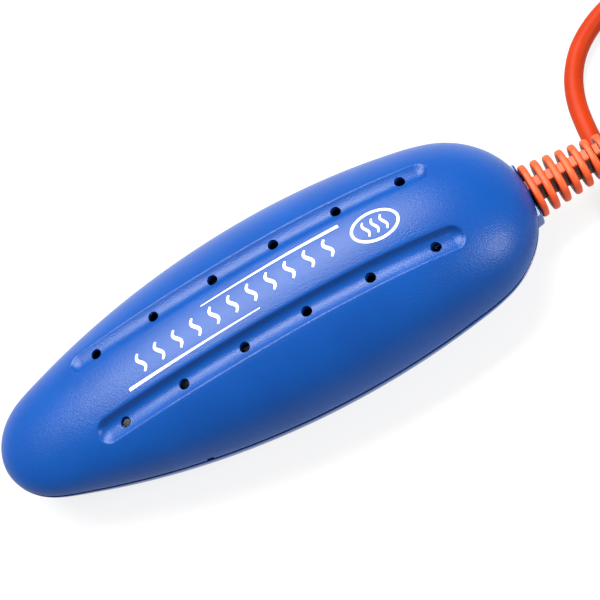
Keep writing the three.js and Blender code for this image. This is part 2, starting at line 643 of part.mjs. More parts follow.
function addPlug() {
  const face = PLUG_FACE - CLEAR;
  addPart('plug_body', plugBody(), orangeRubber());
  [-1, 1].forEach((side, i) => {
    const y = PLUG_Y + (side * PLUG_PIN_SPACING) / 2;
    const pin = [[0, face - 19], [1.3, face - 19], [2, face - 18], [2, face - 9.6], [1.4, face - 9.6],
      [1.4, face], [0, face]];
    const sleeve = [[1.7, face - 9.3], [1.95, face - 9.3], [1.95, face], [1.7, face], [1.7, face - 9.3]];
    addPart(`plug_pin_${i + 1}`, lathedPin(pin, y), brass());
    addPart(`pin_sleeve_${i + 1}`, lathedPin(sleeve, y), material('sleeve_black', 0x222224, 0.5));
  });
}

addPart('upper_shell', upperShell(), blueShell());
addPart('lower_shell', lowerShell(), blueShell());
addPart('strain_relief', strainRelief(), orangeRubber());
addScrews();
addWiring(addHeater());
addLead();
addTie();
addPlug();

export default group;
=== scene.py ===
"""Boot dryer: the looks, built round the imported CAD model. Millimetres in the shape code, metres in Blender.
+X runs from the toe tip to the lead, +Z is up, Z = 0 is the flat sole."""
import math

import bmesh
import bpy
import numpy as np
from mathutils import Matrix, Vector


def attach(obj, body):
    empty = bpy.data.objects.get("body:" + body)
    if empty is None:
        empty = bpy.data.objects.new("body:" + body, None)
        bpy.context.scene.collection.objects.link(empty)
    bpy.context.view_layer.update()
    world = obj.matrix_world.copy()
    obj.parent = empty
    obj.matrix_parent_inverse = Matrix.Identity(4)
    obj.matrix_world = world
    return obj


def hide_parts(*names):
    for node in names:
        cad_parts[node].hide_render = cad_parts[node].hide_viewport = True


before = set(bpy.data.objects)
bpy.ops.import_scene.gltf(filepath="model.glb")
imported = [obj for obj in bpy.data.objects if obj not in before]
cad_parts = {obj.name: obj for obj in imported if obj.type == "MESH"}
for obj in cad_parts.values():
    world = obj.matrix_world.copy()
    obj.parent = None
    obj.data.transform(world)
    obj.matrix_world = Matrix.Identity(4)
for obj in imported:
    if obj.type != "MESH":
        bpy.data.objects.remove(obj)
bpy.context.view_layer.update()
MM = 0.001

# ---- camera: the photograph's viewing angle -------------------------------
CAMERA_AT = Vector((33.6, -243.9, 480.6)) * MM
CAMERA_AZIMUTH = math.radians(5.17)
CAMERA_ELEVATION = math.radians(62.0)
CAMERA_ROLL = math.radians(32.74)
CAMERA_LENS = 116.07


def make_camera():
    """Puts the camera on its azimuth and elevation, rolled about the way it looks."""
    camera = bpy.data.objects.new("camera", bpy.data.cameras.new("camera"))
    bpy.context.scene.collection.objects.link(camera)
    az, el, roll = CAMERA_AZIMUTH, CAMERA_ELEVATION, CAMERA_ROLL
    back = Vector((math.sin(az) * math.cos(el), -math.cos(az) * math.cos(el), math.sin(el)))
    level = Vector((math.cos(az), math.sin(az), 0))
    up = back.cross(level)
    right = math.cos(roll) * level - math.sin(roll) * up
    turned_up = math.sin(roll) * level + math.cos(roll) * up
    camera.matrix_world = Matrix((right, turned_up, back)).transposed().to_4x4()
    camera.location = CAMERA_AT
    camera.data.lens = CAMERA_LENS
    camera.data.sensor_width = 36
    bpy.context.scene.camera = camera


# ---- mains lead -----------------------------------------------------------
CORD_DIAMETER = 5.5
FLOOR_Z = CORD_DIAMETER / 2 + 0.05
LEAD_ROUTE = [
    (116.6, 0, 12), (119.3, 0, 12), (122.5, 0, 11.9), (126.5, 0, 11.6), (134, -1.4, 10.2),
    (140.8, -5.4, 7.9), (145.9, -11.5, 5.4), (148.6, -19, 3.5), (148.6, -27, FLOOR_Z),
    (145.9, -34.5, FLOOR_Z), (140.8, -40.6, FLOOR_Z), (133.9, -44.6, FLOOR_Z), (126, -46, FLOOR_Z),
    (118.1, -44.6, FLOOR_Z), (111.2, -40.6, FLOOR_Z), (106.1, -34.5, FLOOR_Z), (103.4, -27, FLOOR_Z),
    (102.7, -19, FLOOR_Z), (102.7, -11, FLOOR_Z), (102.9, -2, FLOOR_Z), (103.2, 7, FLOOR_Z),
    (103.9, 15.5, FLOOR_Z), (105.4, 23.4, FLOOR_Z), (108.6, 31.1, FLOOR_Z), (114, 38, FLOOR_Z),
    (121.5, 43.2, FLOOR_Z), (131, 46.9, FLOOR_Z), (142, 50, FLOOR_Z), (150, 51.8, FLOOR_Z + 0.2),
    (158, 53, FLOOR_Z + 0.5),
]
PLUG_FACE, PLUG_Y, PLUG_Z, PLUG_THICKNESS = 153.5, 5.1, 19.1, 13.4
TAIL_ROUTE = [
    (207.6, 44.4, 10), (211.3, 39.6, 11.6), (213.6, 34.1, 13.4), (214.4, 29, 15), (214.2, 26, 15.8),
    (213.6, 22.1, 16.4), (211.3, 16.6, 17.3), (207.6, 11.8, 18), (202.9, 8.2, 18.6), (197.3, 5.9, 19),
    (191.5, PLUG_Y, PLUG_Z), (188, PLUG_Y, PLUG_Z), (185, PLUG_Y, PLUG_Z),
]
COIL_CENTRE = (183.5, 14.5)
COIL_INNER, COIL_OUTER = 22.2, 38.7
COIL_BASE = 1.1
OUTER_TURNS = 3
COIL_TURNS = 6 + 30 / 360
STEPS_PER_TURN = 20
CLIMB_START, CLIMB_TURNS = 2.75, 0.5


def coil_route():
    """Clockwise: three turns inwards on the tie, up a layer, then outwards again on top of them."""
    points = []
    low = COIL_BASE + CORD_DIAMETER / 2
    high = low + CORD_DIAMETER
    span = COIL_OUTER - COIL_INNER
    steps = round(COIL_TURNS * STEPS_PER_TURN)
    for i in range(steps + 1):
        turn = COIL_TURNS * i / steps
        if turn <= OUTER_TURNS:
            radius = COIL_OUTER - span * turn / OUTER_TURNS
        else:
            radius = COIL_INNER + span * (turn - OUTER_TURNS) / (COIL_TURNS - OUTER_TURNS)
        climb = min(1, max(0, (turn - CLIMB_START) / CLIMB_TURNS))
        angle = math.pi / 2 - 2 * math.pi * turn
        x = COIL_CENTRE[0] + radius * math.cos(angle)
        y = COIL_CENTRE[1] + radius * math.sin(angle)
        points.append((x, y, low + (high - low) * climb * climb * (3 - 2 * climb)))
    return points


def smooth_route(points, step):
    """Centripetal Catmull-Rom curve through the points."""
    points = [Vector(p) for p in points]
    padded = [2 * points[0] - points[1], *points, 2 * points[-1] - points[-2]]
    route = []
    for p0, p1, p2, p3 in zip(padded, padded[1:], padded[2:], padded[3:]):
        t1 = math.sqrt((p1 - p0).length)
        t2 = t1 + math.sqrt((p2 - p1).length)
        t3 = t2 + math.sqrt((p3 - p2).length)
        count = max(1, round((p2 - p1).length / step))
        for i in range(count):
            t = t1 + (t2 - t1) * i / count
            a1 = p0.lerp(p1, t / t1)
            a2 = p1.lerp(p2, (t - t1) / (t2 - t1))
            a3 = p2.lerp(p3, (t - t2) / (t3 - t2))
            b1 = a1.lerp(a2, t / t2)
            b2 = a2.lerp(a3, (t - t1) / (t3 - t1))
            route.append(b1.lerp(b2, (t - t1) / (t2 - t1)))
    return [*route, points[-1]]


def make_cord(material):
    """The whole lead, from inside the strain relief to inside the plug."""
    curve = bpy.data.curves.new("mains_cord", "CURVE")
    curve.dimensions = "3D"
    curve.bevel_depth = CORD_DIAMETER / 2 * MM
    curve.bevel_resolution = 6
    curve.use_fill_caps = True
    route = smooth_route([*LEAD_ROUTE, *coil_route(), *TAIL_ROUTE], 2.2)
    spline = curve.splines.new("POLY")
    spline.points.add(len(route) - 1)
    for point, place in zip(spline.points, route):
        point.co = (*(place * MM), 1)
    spline.use_smooth = True
    curve.materials.append(material)
    cord = bpy.data.objects.new("mains_cord", curve)
    bpy.context.scene.collection.objects.link(cord)
    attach(cord, "root")
    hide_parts("cord_lead", "cord_tail", "cord_coil")
    return cord


# ---- materials ------------------------------------------------------------
def new_material(name):
    material = bpy.data.materials.new(name)
    material.use_nodes = True
    return material, material.node_tree.nodes, material.node_tree.links


def two_tones(nodes, dark, light, low, high):
    """A ramp between two colours, flat below `low` and above `high`."""
    tone = nodes.new("ShaderNodeValToRGB")
    for element, place, colour in zip(tone.color_ramp.elements, (low, high), (dark, light)):
        element.position = place
        element.color = (*colour, 1)
    return tone


def moulded(name, dark, light, roughness, grain, depth, mottle=60, spread=0.06, recess=None, **sockets):
    """Plastic, rubber or ink: two close tones in clouds, a fine grain in the bump, uneven gloss.
    grain is the size of the texture's bumps and depth their height, in millimetres. mottle scales the
    clouds and spread is how far the gloss strays. recess, when given, paints shade into the base colour:
    it is the painted shade colour that narrow deep places are darkened to by ambient occlusion, and how
    far off, in millimetres, a wall still closes them in."""
    material, nodes, links = new_material(name)
    shader = nodes["Principled BSDF"]
    for socket, value in sockets.items():
        shader.inputs[socket.replace("_", " ")].default_value = value
    where = nodes.new("ShaderNodeTexCoord")
    clouds = nodes.new("ShaderNodeTexNoise")
    clouds.inputs["Scale"].default_value = mottle
    clouds.inputs["Detail"].default_value = 4
    tone = two_tones(nodes, dark, light, 0.32, 0.68)
    fine = nodes.new("ShaderNodeTexNoise")
    fine.inputs["Scale"].default_value = 1000 / grain
    fine.inputs["Detail"].default_value = 2
    gloss = nodes.new("ShaderNodeMapRange")
    gloss.inputs["To Min"].default_value = roughness - spread
    gloss.inputs["To Max"].default_value = roughness + spread
    bump = nodes.new("ShaderNodeBump")
    bump.inputs["Strength"].default_value = 1
    bump.inputs["Distance"].default_value = depth * MM
    for texture in (clouds, fine):
        links.new(where.outputs["Object"], texture.inputs["Vector"])
    links.new(clouds.outputs["Fac"], tone.inputs["Fac"])
    # Painted shade: where ambient occlusion finds walls close by, the base colour falls to a dark shade
    # colour.
    if recess:
        deep, reach = recess
        openness = nodes.new("ShaderNodeAmbientOcclusion")
        openness.samples = 6
        openness.inputs["Distance"].default_value = reach * MM
        painted_shade_amount = nodes.new("ShaderNodeMapRange")
        painted_shade_amount.inputs["From Min"].default_value = 0.3
        painted_shade_amount.inputs["From Max"].default_value = 0.8
        mix = nodes.new("ShaderNodeMix")
        mix.data_type = "RGBA"
        mix.inputs["A"].default_value = (*deep, 1)
        links.new(openness.outputs["AO"], painted_shade_amount.inputs["Value"])
        links.new(painted_shade_amount.outputs["Result"], mix.inputs["Factor"])
        links.new(tone.outputs["Color"], mix.inputs["B"])
        links.new(mix.outputs["Result"], shader.inputs["Base Color"])
    else:
        links.new(tone.outputs["Color"], shader.inputs["Base Color"])
    links.new(fine.outputs["Fac"], gloss.inputs["Value"])
    links.new(gloss.outputs["Result"], shader.inputs["Roughness"])
    links.new(fine.outputs["Fac"], bump.inputs["Height"])
    links.new(bump.outputs["Normal"], shader.inputs["Normal"])
    return material


def metal(name, dark, light, roughness, stretch, depth=0.004):
    """Bare metal with drawn or brushed streaks. stretch scales the streaks along X, Y and Z."""
    material, nodes, links = new_material(name)
    shader = nodes["Principled BSDF"]
    shader.inputs["Metallic"].default_value = 1
    where = nodes.new("ShaderNodeTexCoord")
    place = nodes.new("ShaderNodeMapping")
    place.inputs["Scale"].default_value = stretch
    streaks = nodes.new("ShaderNodeTexNoise")
    streaks.inputs["Scale"].default_value = 900
    streaks.inputs["Detail"].default_value = 3
    tone = two_tones(nodes, dark, light, 0.3, 0.7)
    gloss = nodes.new("ShaderNodeMapRange")
    gloss.inputs["To Min"].default_value = roughness - 0.08
    gloss.inputs["To Max"].default_value = roughness + 0.08
    bump = nodes.new("ShaderNodeBump")
    bump.inputs["Distance"].default_value = depth * MM
    links.new(where.outputs["Object"], place.inputs["Vector"])
    links.new(place.outputs["Vector"], streaks.inputs["Vector"])
    links.new(streaks.outputs["Fac"], tone.inputs["Fac"])
    links.new(tone.outputs["Color"], shader.inputs["Base Color"])
    links.new(streaks.outputs["Fac"], gloss.inputs["Value"])
    links.new(gloss.outputs["Result"], shader.inputs["Roughness"])
    links.new(streaks.outputs["Fac"], bump.inputs["Height"])
    links.new(bump.outputs["Normal"], shader.inputs["Normal"])
    return material


# ---- mesh helpers ---------------------------------------------------------
def new_piece(name, vertices, faces, material, sharp=32):
    """A smooth-shaded mesh from points in millimetres, with edges over `sharp` degrees kept crisp."""
    mesh = bpy.data.meshes.new(name)
    mesh.from_pydata([tuple(c * MM for c in v) for v in vertices], [], faces)
    clean(mesh)
    piece = bpy.data.objects.new(name, mesh)
    bpy.context.scene.collection.objects.link(piece)
    if material:
        mesh.materials.append(material)
    shade(piece, sharp)
    return piece


def clean(mesh):
    """Welds doubled points, drops faces without area and turns all faces outwards."""
    work = bmesh.new()
    work.from_mesh(mesh)
    bmesh.ops.remove_doubles(work, verts=work.verts, dist=1e-7)
    bmesh.ops.dissolve_degenerate(work, edges=work.edges, dist=1e-7)
    bmesh.ops.recalc_face_normals(work, faces=work.faces)
    work.to_mesh(mesh)
    work.free()


def shade(piece, sharp):
    piece.data.shade_smooth()
    piece.data.set_sharp_from_angle(angle=math.radians(sharp))


def loft(rings, caps=True):
    """Vertices and faces that skin equal closed rings of points, with a cap on each end."""
    count = len(rings[0])
    vertices = [p for ring in rings for p in ring]
    faces = []
    for i in range(len(rings) - 1):
        for j in range(count):
            k = (j + 1) % count
            faces.append((i * count + j, i * count + k, (i + 1) * count + k, (i + 1) * count + j))
    if caps:
        last = (len(rings) - 1) * count
        faces.append(tuple(reversed(range(count))))
        faces.append(tuple(range(last, last + count)))
    return vertices, faces


def lathe(profile, at, axis="Z", sides=32, caps=True):
    """Turns (radius, height) pairs about a line through `at`."""
    rings = []
    for radius, height in profile:
        ring = []
        for j in range(sides):
            a = 2 * math.pi * j / sides
            u, v = radius * math.cos(a), radius * math.sin(a)
            offset = (u, v, height) if axis == "Z" else (height, u, v)
            ring.append(tuple(at[k] + offset[k] for k in range(3)))
        rings.append(ring)
    return loft(rings, caps)


def box(x0, x1, y0, y1, z0, z1):
    ring = [(x0, y0), (x1, y0), (x1, y1), (x0, y1)]
    return loft([[(x, y, z0) for x, y in ring], [(x, y, z1) for x, y in ring]])


def rounded_outline(width, height, radius, corner=8):
    """(y, z) points round a rounded rectangle, always four times corner + 1 of them."""
    w, h = width / 2 - radius, height / 2 - radius
    points = []
    for q, (sy, sz) in enumerate([(1, 1), (-1, 1), (-1, -1), (1, -1)]):
        for i in range(corner + 1):
            a = math.pi / 2 * (q + i / corner)
            points.append((sy * w + radius * math.cos(a), sz * h + radius * math.sin(a)))
    return points


def prism_x(width, height, radius, cz, x0, x1):
    """A rounded rectangle across X, drawn out from x0 to x1 about the level cz."""
    outline = rounded_outline(width, height, radius, 6)
    return loft([[(x, y, cz + z) for y, z in outline] for x in (x0, x1)])


def together(solids):
    """One vertex and face list from several solids that don't touch."""
    vertices, faces = [], []
    for part_vertices, part_faces in solids:
        base = len(vertices)
        vertices += list(part_vertices)
        faces += [tuple(base + i for i in face) for face in part_faces]
    return vertices, faces


def boolean(piece, tool, operation):
    """Joins the tool to the piece or cuts it out, then throws the tool away."""
    modifier = piece.modifiers.new("boolean", "BOOLEAN")
    modifier.solver = "MANIFOLD"
    modifier.operation = operation
    modifier.object = tool
    graph = bpy.context.evaluated_depsgraph_get()
    old, tool_mesh = piece.data, tool.data
    piece.data = bpy.data.meshes.new_from_object(piece.evaluated_get(graph))
    piece.modifiers.clear()
    bpy.data.objects.remove(tool)
    for mesh in (old, tool_mesh):
        bpy.data.meshes.remove(mesh)


def combine(piece, solids, operation):
    """Joins or cuts several separate solids at once."""
    boolean(piece, new_piece("tool", *together(solids), None), operation)


def finish_piece(piece, slot, *nodes):
    """Hands a piece to the frame, in place of the CAD nodes it stands for."""
    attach(piece, "root")
    if nodes:
        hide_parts(*nodes)
    return piece


# ---- housing form, as in the CAD model ------------------------------------
HALF_LENGTH, HALF_WIDTH = 80, 31
TIP_RADIUS, SIDE_RADIUS, CORNER_RADIUS, REAR_RADIUS = 17.5, 230, 22, 27
CROWN, CROWN_X, BELLY = 22, 16, 17
PART_Z, PART_GAP = 15, 0.8
WALL = 2
UPPER_RIM = PART_Z + PART_GAP / 2
LOWER_RIM = PART_Z - PART_GAP / 2
LIP = 0.35  # fillet of both rims
TIP_START, TIP_REACH = 61, 1.6  # the toe tip is drawn out by this much, from this far off the middle
PLAN_EASE = 6
SOLE_FILLET, CHANNEL_FILLET, SOLE_WALL = 0.7, 0.3, 1.5
NOTCH_X, NOTCH_HALF, NOTCH_DEEP, NOTCH_TOP = -29, 0.95, 0.75, 16.3  # nick in the near rim
LAP_OUT, LAP_RISE, CLEAR = 1, 2.2, 0.3
CHANNEL_Y, CHANNEL_HALF, CHANNEL_DEPTH = 11.2, 3.2, 1.7
CHANNEL_FRONT, CHANNEL_REAR = -52, 58
CHANNEL_ROUND = 0.72  # 0.5 would make its section a half ellipse, 1 a parabola
CHANNEL_LEAN = 0.3  # how much deeper than the middle it is at its inner edge, and shallower at its outer one
CHANNEL_LIP, CHANNEL_FADE = 0.08, 0.6
VENTS = [(-44 + 18.8 * i, side * CHANNEL_Y) for side in (1, -1) for i in range(6)]
VENT_RADIUS = 1.5
BOSSES = [(-58, 0), (-8, 21.5), (-8, -21.5), (48, 17.5), (48, -17.5)]  # screw posts
LEAD_Z = 12  # level of the lead's axis at the strain relief


def plan_arcs():
    """(x, y, radius) of the tip, side, corner and rear arcs of the plan, each tangent to the next."""
    tip = (-HALF_LENGTH + TIP_RADIUS, 0, TIP_RADIUS)
    rise = SIDE_RADIUS - HALF_WIDTH
    side = (tip[0] + math.sqrt((SIDE_RADIUS - TIP_RADIUS) ** 2 - rise**2), -rise, SIDE_RADIUS)
    rear = (HALF_LENGTH - REAR_RADIUS, 0, REAR_RADIUS)
    from_side, from_rear = SIDE_RADIUS - CORNER_RADIUS, REAR_RADIUS - CORNER_RADIUS
    dx, dy = rear[0] - side[0], rear[1] - side[1]
    span = math.hypot(dx, dy)
    along = (from_side**2 - from_rear**2 + span**2) / (2 * span)
    across = math.sqrt(from_side**2 - along**2)
    corners = []
    for turn in (1, -1):
        x = side[0] + (along * dx + turn * across * dy) / span
        y = side[1] + (along * dy - turn * across * dx) / span
        corners.append((x, y, CORNER_RADIUS))
    return [tip, side, max(corners, key=lambda c: c[1]), rear]


ARCS = plan_arcs()
HANDOVER = [
    ARCS[1][0] + (ARCS[0][0] - ARCS[1][0]) * SIDE_RADIUS / (SIDE_RADIUS - TIP_RADIUS),
    ARCS[1][0] + (ARCS[2][0] - ARCS[1][0]) * SIDE_RADIUS / (SIDE_RADIUS - CORNER_RADIUS),
    ARCS[3][0] + (ARCS[2][0] - ARCS[3][0]) * REAR_RADIUS / (REAR_RADIUS - CORNER_RADIUS),
]


def half_width(x, inset=0):
    """The plan outline, averaged over a few millimetres to ease the jumps in curvature between its arcs."""
    full = np.asarray(x, float) * HALF_LENGTH / (HALF_LENGTH - inset)
    ease = np.clip(0.3 * (HALF_LENGTH - np.abs(full)), 0, PLAN_EASE)
    samples = np.linspace(-1, 1, 9)
    reach = 0
    for share in samples:
        at = full + share * ease
        arc = np.array(ARCS)[np.searchsorted(HANDOVER, at)]
        reach += arc[..., 1] + np.sqrt(np.maximum(0, arc[..., 2] ** 2 - (at - arc[..., 0]) ** 2))
    return np.maximum(0.02, reach / len(samples) * (HALF_WIDTH - inset) / HALF_WIDTH)


def long_curve(x, peak, front, rear, inset):
    """Share of the full height along the length. front and rear are each side's (power, root)."""
    full = np.asarray(x, float) * HALF_LENGTH / (HALF_LENGTH - inset)
    ahead = full < peak
    reach = np.where(ahead, peak + HALF_LENGTH, HALF_LENGTH - peak)
    u = np.minimum(1, np.abs(full - peak) / reach)
    power = np.where(ahead, front[0], rear[0])
    root = np.where(ahead, front[1], rear[1])
    return np.maximum(0.001, np.maximum(1e-12, 1 - u**power) ** (1 / root))


def crown_height(x, inset=0):
    """Height of the upper body over the parting plane."""
    return (CROWN - inset) * long_curve(x, CROWN_X, (1.45, 1.9), (2.6, 1.9), inset)


def belly_depth(x, inset=0):
    """Depth of the lower body under the parting plane, before the sole flattens it."""
    return (BELLY - inset) * long_curve(x, 0, (2.2, 2), (2.4, 2.2), inset)


def smooth_max(a, b, reach):
    """The larger of two levels, with a fillet where they are closer than `reach`."""
    overlap = np.maximum(reach - np.abs(a - b), 0) / reach
    return np.maximum(a, b) + overlap**2 * reach / 4


def channel_depth(x, across):
    """Depth of a vent channel, as a share of CHANNEL_DEPTH. across runs outwards from its middle line."""
    past = np.maximum(0, np.maximum(CHANNEL_FRONT + CHANNEL_HALF - x, x - CHANNEL_REAR + CHANNEL_HALF))
    off = np.hypot(past, across)
    into = 1 - off / CHANNEL_HALF
    into = np.minimum(1, (into + np.sqrt(into**2 + CHANNEL_LIP**2)) / 2)
    faded = np.clip((off - CHANNEL_HALF) / CHANNEL_FADE, 0, 1)
    lean = 1 - CHANNEL_LEAN * across / CHANNEL_HALF
    return (1 - (1 - into) ** 2) ** CHANNEL_ROUND * lean * (1 - faded)


def stations():
    """Shares of the length: crowded at both ends of the housing and of the channels."""
    steps, fine_step, closest = 150, 0.24, 0.0025
    coarse = [(1 - math.cos(math.pi * i / steps)) / 2 for i in range(steps + 1)]
    fine = []
    for x0, x1 in ((CHANNEL_FRONT - 0.8, CHANNEL_FRONT + 4), (CHANNEL_REAR - 4, CHANNEL_REAR + 0.8)):
        count = round((x1 - x0) / fine_step)
        fine += [(x0 + (x1 - x0) * i / count + HALF_LENGTH) / (2 * HALF_LENGTH) for i in range(count + 1)]
    kept = [share for share in coarse if min(abs(share - f) for f in fine) > closest]
    return np.array(sorted(kept + fine))


STATIONS = stations()
# Columns of the grid across a channel, by their way off its middle line: crowded at its lip.
BAND = [3.8, 3.6, 3.45, 3.35, 3.25, 3.15, 3.05, 2.95, 2.8, 2.6, 2.35, 2.05, 1.7, 1.3, 0.9, 0.45]
BAND = [*BAND, 0, *[-a for a in reversed(BAND)]]


def end_of(height, level, side):
    """The x, towards `side`, where the section is only `level` high."""
    near, far = 0.0, side * (HALF_LENGTH - 1e-4)
    for _ in range(60):
        middle = (near + far) / 2
        near, far = (middle, far) if height(middle) > level else (near, middle)
    return near


def half_body(side, inset, level, skirt=20, crest=10):
    """Grid of points over the upper (side 1) or lower (side -1) body, from `level` off the parting plane.
    Rows run along X. Columns follow the channel edges."""
    height = crown_height if side > 0 else belly_depth
    x0 = end_of(lambda x: float(height(x, inset)), level, -1)
    x1 = end_of(lambda x: float(height(x, inset)), level, 1)
    grow = (HALF_LENGTH - inset) / HALF_LENGTH
    rows = []
    for x in x0 + (x1 - x0) * STATIONS:
        w, h = float(half_width(x, inset)), float(height(x, inset))
        full = x / grow
        full_w, full_h = float(half_width(full)), float(height(full))
        start = math.asin(min(1, level / h))
        squeeze = min(1, 0.8 * full_w / (CHANNEL_Y + BAND[0]))
        rise = math.sqrt(1 - (CHANNEL_Y * squeeze / full_w) ** 2)
        slope = full_h * CHANNEL_Y * squeeze / (full_w**2 * rise)
        norm = math.hypot(1, slope) if side > 0 else 1
        band = [(CHANNEL_Y + a / norm) * squeeze / full_w for a in BAND]
        knots = [max(start, math.acos(min(1, c))) for c in band]
        outside = np.linspace(start, knots[0], skirt, endpoint=False)
        inside = np.linspace(knots[-1], math.pi / 2, crest + 1)[1:]
        angles = np.array([*outside, *knots, *inside])
        angles = np.array([*angles, *(math.pi - angles[-2::-1])])
        y, lift = w * np.cos(angles), h * np.sin(angles)
        if side > 0:
            across = (np.abs(y * full_w / w) / squeeze - CHANNEL_Y) * norm
            deep = CHANNEL_DEPTH * channel_depth(full, across) * (squeeze == 1)
            y = y - np.sign(y) * deep * slope / norm
            z = PART_Z + lift - deep / norm
        else:
            across = np.abs(y * full_w / w) / squeeze - CHANNEL_Y
            deep = CHANNEL_DEPTH * channel_depth(full, across) * (squeeze == 1)
            outer = PART_Z - full_h * np.sin(angles)
            outer = smooth_max(smooth_max(outer, 0, SOLE_FILLET), deep, CHANNEL_FILLET)
            z = outer if not inset else np.maximum(np.maximum(PART_Z - lift, inset), outer + SOLE_WALL)
            z = np.minimum(z, PART_Z - level)
        rows.append([(x, float(a), float(b)) for a, b in zip(y, z)])
    return rows


def plan_loop(inset, z):
    """Both long sides of the plan outline at one level, as (left, right) lists along X."""
    end = HALF_LENGTH - inset - 0.02
    xs = -end + 2 * end * STATIONS
    ys = half_width(xs, inset)
    ys[0] = ys[-1] = 0
    return ([(x, float(y), z) for x, y in zip(xs, ys)], [(x, -float(y), z) for x, y in zip(xs, ys)])


def closed_body(grid, loops):
    """A closed solid: the grid, the loops below its rim one after another, and a cap on the last loop."""
    rows, columns = len(grid), len(grid[0])
    vertices = [p for row in grid for p in row]
    faces = [
        (i * columns + j, i * columns + j + 1, (i + 1) * columns + j + 1, (i + 1) * columns + j)
        for i in range(rows - 1) for j in range(columns - 1)]
    left = [i * columns for i in range(rows)]
    right = [i * columns + columns - 1 for i in range(rows)]
    for new_left, new_right in loops:
        base = len(vertices)
        vertices += [*new_left, *new_right]
        next_left, next_right = range(base, base + rows), range(base + rows, base + 2 * rows)
        for old, new in ((left, next_left), (right, next_right)):
            faces += [(old[i], old[i + 1], new[i + 1], new[i]) for i in range(rows - 1)]
        left, right = list(next_left), list(next_right)
    faces += [(left[i], left[i + 1], right[i + 1], right[i]) for i in range(rows - 1)]
    return vertices, faces


def lip_loops(rim, side):
    """The rounded outer edge of a rim, ending flat at `rim`."""
    loops = []
    for i in range(1, 4):
        a = math.pi / 2 * i / 3
        loops.append(plan_loop(LIP * (1 - math.cos(a)), rim + side * LIP * (1 - math.sin(a))))
    return loops


def reach_tip(piece):
    """Draws the toe tip a little further out, as its sides run on longer than the plan's arcs."""
    for vertex in piece.data.vertices:
        share = max(0, -vertex.co.x / MM - TIP_START) / (HALF_LENGTH - TIP_START)
        vertex.co.x -= TIP_REACH * MM * share**1.5


def pry_notch():
    """Shallow nick in the near rim, where a blade parts the shells."""
    bottom = NOTCH_DEEP - float(half_width(NOTCH_X))
    return box(NOTCH_X - NOTCH_HALF, NOTCH_X + NOTCH_HALF, -HALF_WIDTH, bottom, PART_Z - 1, NOTCH_TOP)


POST_RADIUS, PILLAR_RADIUS, PILOT_RADIUS = 3.6, 4.2, 1.6
COUNTERBORE_RADIUS, COUNTERBORE_TOP = 3.1, 11
NECK_SLOT, FLANGE_SLOT, SLOT_CORNER = 9.4, 15, 2  # where the strain relief's neck and flange sit
LEAD_BORE = 3.05
HEATER_RIBS, HEATER_RIB_TOP = (-25, 25), 8.7
CLAMP_X, CLAMP_TOP, CLAMP_SCREW_Y = 62, 11.2, 7


def vent_cutters(z0, z1):
    """A round plug through every vent, between two levels."""
    return [lathe([(VENT_RADIUS, z0), (VENT_RADIUS, z1)], (x, y, 0), sides=28) for x, y in VENTS]


def upper_shell(material):
    """The top: an open shell with a rebate round its rim, posts for the screws and a slot for the neck."""
    rebate = PART_Z + LAP_RISE + CLEAR
    level = PART_GAP / 2 + LIP
    grid = half_body(1, 0, level)
    body = new_piece("upper_housing", *closed_body(grid, lip_loops(UPPER_RIM, 1)), material)
    inner = half_body(1, WALL, rebate - PART_Z, 12, 6)
    loops = [plan_loop(LAP_OUT, rebate), plan_loop(LAP_OUT, PART_Z - 1)]
    cavity = new_piece("cavity", *closed_body(inner, loops), None)
    posts = [lathe([(POST_RADIUS, rebate), (POST_RADIUS, PART_Z + 25)], (x, y, 0)) for x, y in BOSSES]
    combine(cavity, posts, "DIFFERENCE")
    boolean(body, cavity, "DIFFERENCE")
    cuts = vent_cutters(PART_Z + 2, PART_Z + CROWN + 1)
    cuts += [lathe([(PILOT_RADIUS, PART_Z), (PILOT_RADIUS, PART_Z + 7.5)], (x, y, 0)) for x, y in BOSSES]
    cuts.append(prism_x(NECK_SLOT, 10, SLOT_CORNER, LEAD_Z, 66, 86))
    cuts.append(pry_notch())
    combine(body, cuts, "DIFFERENCE")
    reach_tip(body)
    shade(body, 30)
    return finish_piece(body, "housing", "upper_shell")


def collar():
    """Nose that carries the strain relief, flared towards the body and softened round its flat face."""
    front, half_end, flare, bottom_end, corner = 66.5, 8.7, 4, 5.4, 4
    quarter = [math.pi / 2 * j / 8 for j in range(9)]
    plain = [(x, 0) for x in (front, 68.5, 70.5, 72.5, 74.5, 76.5, 78, 79.4)]
    rim = [(79.75, 0.12), (79.93, 0.3), (HALF_LENGTH, 0.55)]
    rings = []
    for x, inset in plain + rim:
        back = (HALF_LENGTH - x) / (HALF_LENGTH - front)
        half = half_end + flare * back**1.5 - inset
        bottom = bottom_end - back + inset
        turn = [(half - corner * (1 - math.cos(a)), bottom + corner * (1 - math.sin(a))) for a in quarter]
        ring = [(half, LOWER_RIM - inset), (-half, LOWER_RIM - inset)]
        ring += [(-y, z) for y, z in turn]
        ring += reversed(turn)
        rings.append([(x, y, z) for y, z in ring])
    return loft(rings)


